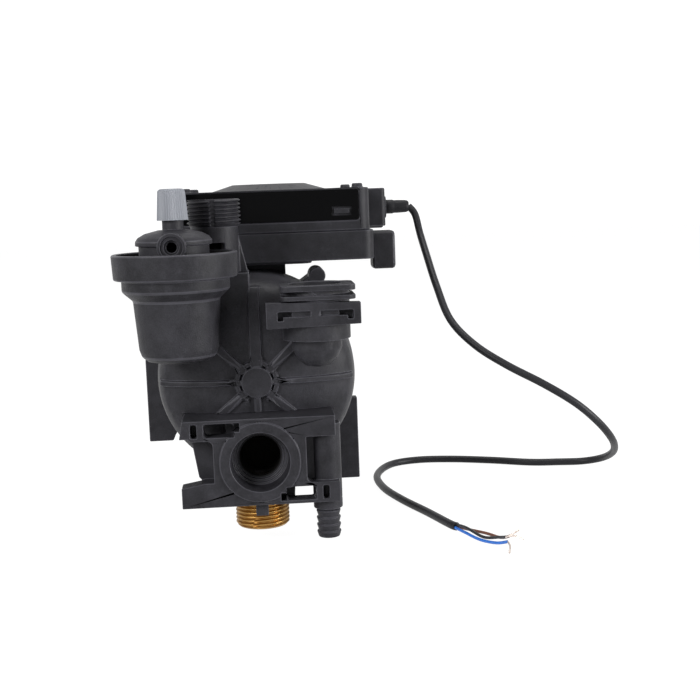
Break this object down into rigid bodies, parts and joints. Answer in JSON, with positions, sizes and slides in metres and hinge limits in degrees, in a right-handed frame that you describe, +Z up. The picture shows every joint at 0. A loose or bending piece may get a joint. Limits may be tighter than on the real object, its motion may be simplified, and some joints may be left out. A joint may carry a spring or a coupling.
{
  "type": "circulation pump",
  "caption": "Boiler circulation pump: moulded housing with port block, brass nipple, air vent, clip socket, rear wet-rotor motor, control box and signal lead.",
  "frame": {"origin": "centre of the return nipple's lower face", "axes": "+Z up along the return nipple's axis; the horizontal port, which is the front, opens along -Y; +X to the right seen from the front"},
  "size_m": [0.2715, 0.2052, 0.1745],
  "materials": {
    "housing_plastic": "glass-filled moulded plastic, satin",
    "box_plastic": "fine matt moulded plastic",
    "inner_plastic": "moulded plastic",
    "gloss_panel": "glossy dark panel",
    "brass": "machined brass, bright",
    "seal_rubber": "smooth seal rubber",
    "gland_rubber": "moulded soft plastic",
    "lead_sheath": "smooth cable sheath",
    "cap_grey": "light grey moulded plastic",
    "float_white": "natural moulded plastic",
    "steel": "stainless steel",
    "rotor_steel": "turned steel sleeve",
    "lamination": "stacked sheet steel",
    "capacitor_sleeve": "shrunk dark sleeve",
    "ceramic": "ground ceramic",
    "copper": "enamelled copper wire",
    "board_green": "lacquered circuit board",
    "core_blue": "insulated core, blue",
    "core_brown": "insulated core, brown",
    "core_black": "insulated core, black",
    "tinned_copper": "tinned strands"
  },
  "bodies": {
    "housing": {"dome_cover": "housing_plastic", "volute_body": "housing_plastic", "port_block": "housing_plastic", "vent_chamber": "housing_plastic", "clip_socket": "housing_plastic", "vessel_spigot": "housing_plastic", "left_rear_bracket": "housing_plastic", "right_rear_bracket": "housing_plastic", "return_nipple": "brass", "nipple_ring": "seal_rubber", "nipple_tongue": "inner_plastic", "vent_head": "housing_plastic", "vent_head_ring": "seal_rubber", "vent_outlet_ring": "inner_plastic", "eye_plate": "inner_plastic", "front_bearing": "ceramic", "rear_bearing": "ceramic", "bearing_plate": "steel", "rotor_can": "steel", "flange_gasket": "seal_rubber", "stator_core": "lamination", "windings": "copper", "motor_housing": "box_plastic", "flange_screws": "steel", "box_tub": "box_plastic", "box_cover": "box_plastic", "front_panel": "gloss_panel", "panel_latch": "box_plastic", "circuit_board": "board_green", "capacitors": "capacitor_sleeve", "choke": "copper", "terminal_block": "float_white", "box_screws": "steel", "connector_housing": "box_plastic", "gland_collar": "box_plastic", "cable_gland": "gland_rubber", "lead_sheath": "lead_sheath", "blue_core": "core_blue", "brown_core": "core_brown", "black_core": "core_black", "core_ends": "tinned_copper"},
    "rotor": {"impeller": "inner_plastic", "impeller_shroud": "inner_plastic", "shaft": "ceramic", "rotor": "rotor_steel", "thrust_ring": "ceramic"},
    "cap": {"vent_cap": "cap_grey"},
    "float": {"vent_float": "float_white"},
    "lever": {"vent_lever": "steel", "vent_needle": "brass"},
    "drain": {"drain_tail": "housing_plastic", "drain_ring": "seal_rubber"},
    "plug": {"blanking_plug": "box_plastic"}
  },
  "joints": [
    {"name": "rotor_spin", "type": "hinge", "parent": "housing", "child": "rotor", "pos_m": [0, 0, 0.0713], "axis": [0, 1, 0], "continuous": true},
    {"name": "cap_turn", "type": "hinge", "parent": "housing", "child": "cap", "pos_m": [-0.0358, -0.014, 0.16], "axis": [0, 0, 1], "range_deg": [0, 270]},
    {"name": "float_rise", "type": "slide", "parent": "housing", "child": "float", "axis": [0, 0, 1], "range_m": [0, 0.004]},
    {"name": "lever_swing", "type": "hinge", "parent": "housing", "child": "lever", "pos_m": [-0.0448, -0.014, 0.12045], "axis": [0, -1, 0], "range_deg": [0, 31]},
    {"name": "drain_turn", "type": "hinge", "parent": "housing", "child": "drain", "pos_m": [0.0322, -0.01, 0.014], "axis": [0, 0, -1], "range_deg": [0, 180]},
    {"name": "plug_pull", "type": "slide", "parent": "housing", "child": "plug", "axis": [1, 0, 0], "range_m": [0, 0.008]}
  ],
  "couplings": [
    {"joint": "lever_swing", "follows": "float_rise", "rad_per_m": 133}
  ]
}
